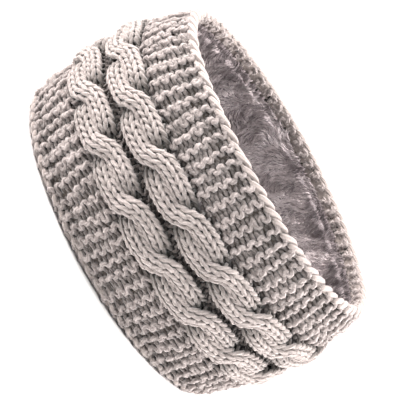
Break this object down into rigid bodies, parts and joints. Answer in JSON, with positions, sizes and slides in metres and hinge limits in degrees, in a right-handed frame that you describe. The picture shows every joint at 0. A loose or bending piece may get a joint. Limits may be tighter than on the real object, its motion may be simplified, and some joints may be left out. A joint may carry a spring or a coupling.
{
  "type": "ear warmer headband",
  "caption": "Chunky knitted ear warmer headband: a wide loop with twin rope cables between garter ridges, turned-in edges and a plush fur lining.",
  "frame": {"origin": "centre of the overall box, on the surface that the loop stands on", "axes": "+Z along the loop's axis from the wider lower rim to the upper rim, X along the loop's long direction, front toward -Y"},
  "size_m": [0.2104, 0.1651, 0.104],
  "materials": {
    "knit_yarn": "soft plied acrylic yarn, pale pinkish greige, garter stitch",
    "cable_yarn": "the same yarn in smooth columns of V stitches",
    "plush_pile": "short mauve grey faux-fur pile in swirled locks"
  },
  "bodies": {
    "root": {"knit_band": "knit_yarn", "upper_cable": "cable_yarn", "lower_cable": "cable_yarn", "fur_lining": "plush_pile"}
  },
  "joints": []
}
